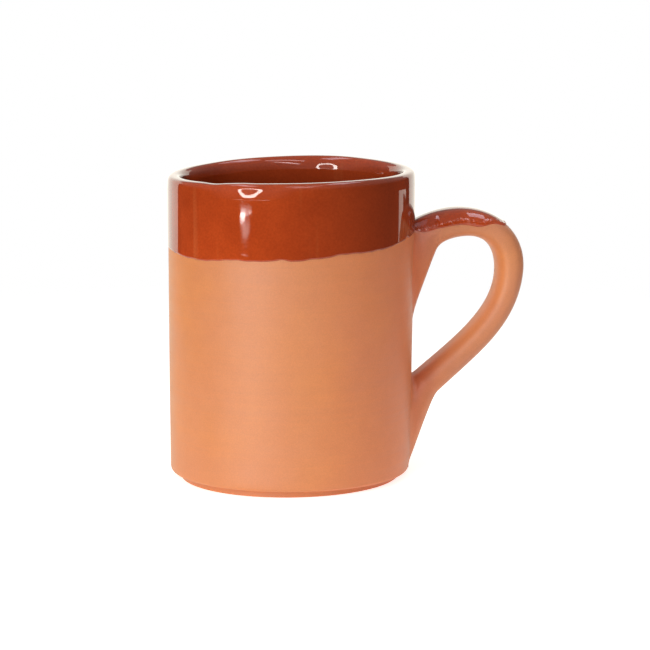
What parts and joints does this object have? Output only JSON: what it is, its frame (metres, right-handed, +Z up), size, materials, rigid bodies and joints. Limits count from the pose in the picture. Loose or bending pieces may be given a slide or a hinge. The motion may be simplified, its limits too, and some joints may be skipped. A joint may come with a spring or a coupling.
{
  "type": "clay mug",
  "caption": "Straight-sided earthenware mug with a luted loop handle, glazed inside and dipped in honey glaze round the rim and over the handle's crest.",
  "frame": {"origin": "middle of the foot's standing face", "axes": "+Z up out of the mouth, +X towards the handle"},
  "size_m": [0.117, 0.0806, 0.1003],
  "materials": {
    "cup_clay": "bare fired red earthenware, wiped smooth",
    "handle_clay": "bare fired red earthenware, wiped smooth",
    "luting_slip": "fired clay slip",
    "liner_glaze": "glossy honey glaze, pooled darker",
    "dip_glaze": "glossy honey glaze"
  },
  "bodies": {
    "root": {"clay_cup": "cup_clay", "handle": "handle_clay", "slip_seam_upper": "luting_slip", "slip_seam_lower": "luting_slip", "glaze_liner": "liner_glaze", "glaze_band": "dip_glaze", "handle_glaze": "dip_glaze"}
  },
  "joints": []
}
